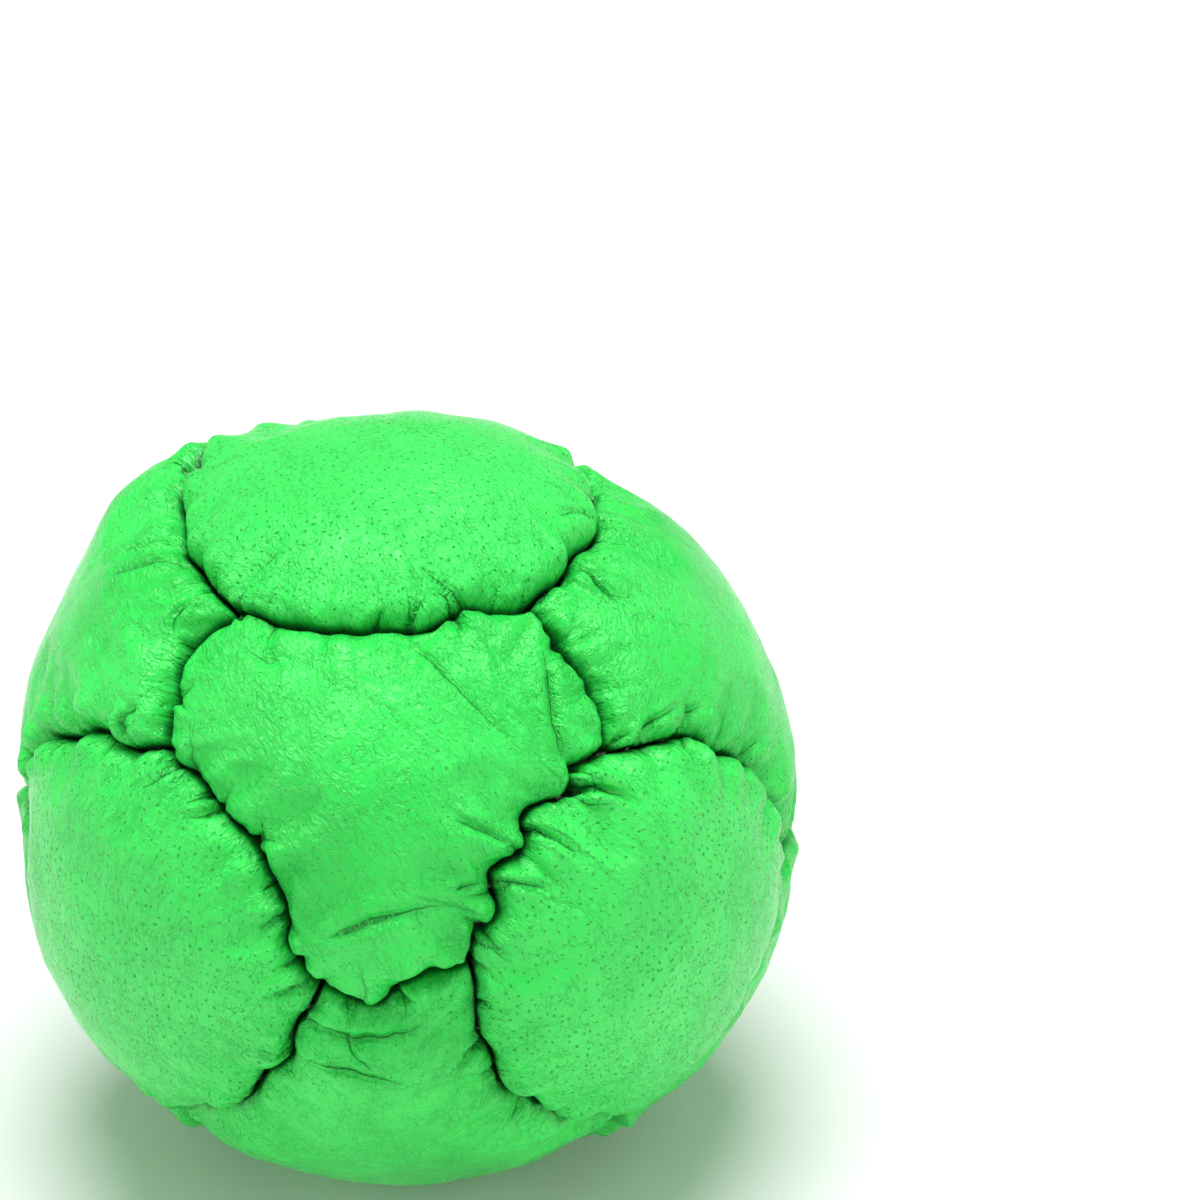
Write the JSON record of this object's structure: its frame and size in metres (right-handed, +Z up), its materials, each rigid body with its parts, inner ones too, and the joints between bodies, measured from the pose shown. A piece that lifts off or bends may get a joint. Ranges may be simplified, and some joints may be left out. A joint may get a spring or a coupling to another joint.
{
  "type": "footbag",
  "caption": "Hand-sewn leather kick bag: a palm-sized ball of puffed green panels with stitched seams, filled with sand and settled flat underneath.",
  "frame": {"origin": "middle of the flat that the bag rests on, under the centre of the ball", "axes": "+Z up; the front is -Y, where the short seam between the two front six-sided panels lies; +X to the right seen from the front"},
  "size_m": [0.057, 0.0562, 0.0556],
  "materials": {
    "green_leather": "soft pigskin suede with pores, fine grain and a faint sheen",
    "sewing_thread": "pale waxed nylon thread",
    "sand": "dry sand, hidden inside"
  },
  "bodies": {
    "root": {"back_left_square_panel": "green_leather", "back_right_square_panel": "green_leather", "bottom_square_panel": "green_leather", "front_left_square_panel": "green_leather", "front_right_square_panel": "green_leather", "lower_back_hex_panel": "green_leather", "lower_front_hex_panel": "green_leather", "lower_left_hex_panel": "green_leather", "lower_right_hex_panel": "green_leather", "top_square_panel": "green_leather", "upper_back_hex_panel": "green_leather", "upper_front_hex_panel": "green_leather", "upper_left_hex_panel": "green_leather", "upper_right_hex_panel": "green_leather", "back_left_ring_thread": "sewing_thread", "back_right_ring_thread": "sewing_thread", "bottom_ring_thread": "sewing_thread", "front_left_ring_thread": "sewing_thread", "front_right_ring_thread": "sewing_thread", "lower_back_to_lower_left_thread": "sewing_thread", "lower_front_to_lower_left_thread": "sewing_thread", "lower_front_to_lower_right_thread": "sewing_thread", "lower_right_to_lower_back_thread": "sewing_thread", "top_ring_thread": "sewing_thread", "upper_back_to_lower_back_thread": "sewing_thread", "upper_back_to_upper_left_thread": "sewing_thread", "upper_front_to_lower_front_thread": "sewing_thread", "upper_front_to_upper_left_thread": "sewing_thread", "upper_front_to_upper_right_thread": "sewing_thread", "upper_left_to_lower_left_thread": "sewing_thread", "upper_right_to_lower_right_thread": "sewing_thread", "upper_right_to_upper_back_thread": "sewing_thread", "sand_filling": "sand"}
  },
  "joints": []
}
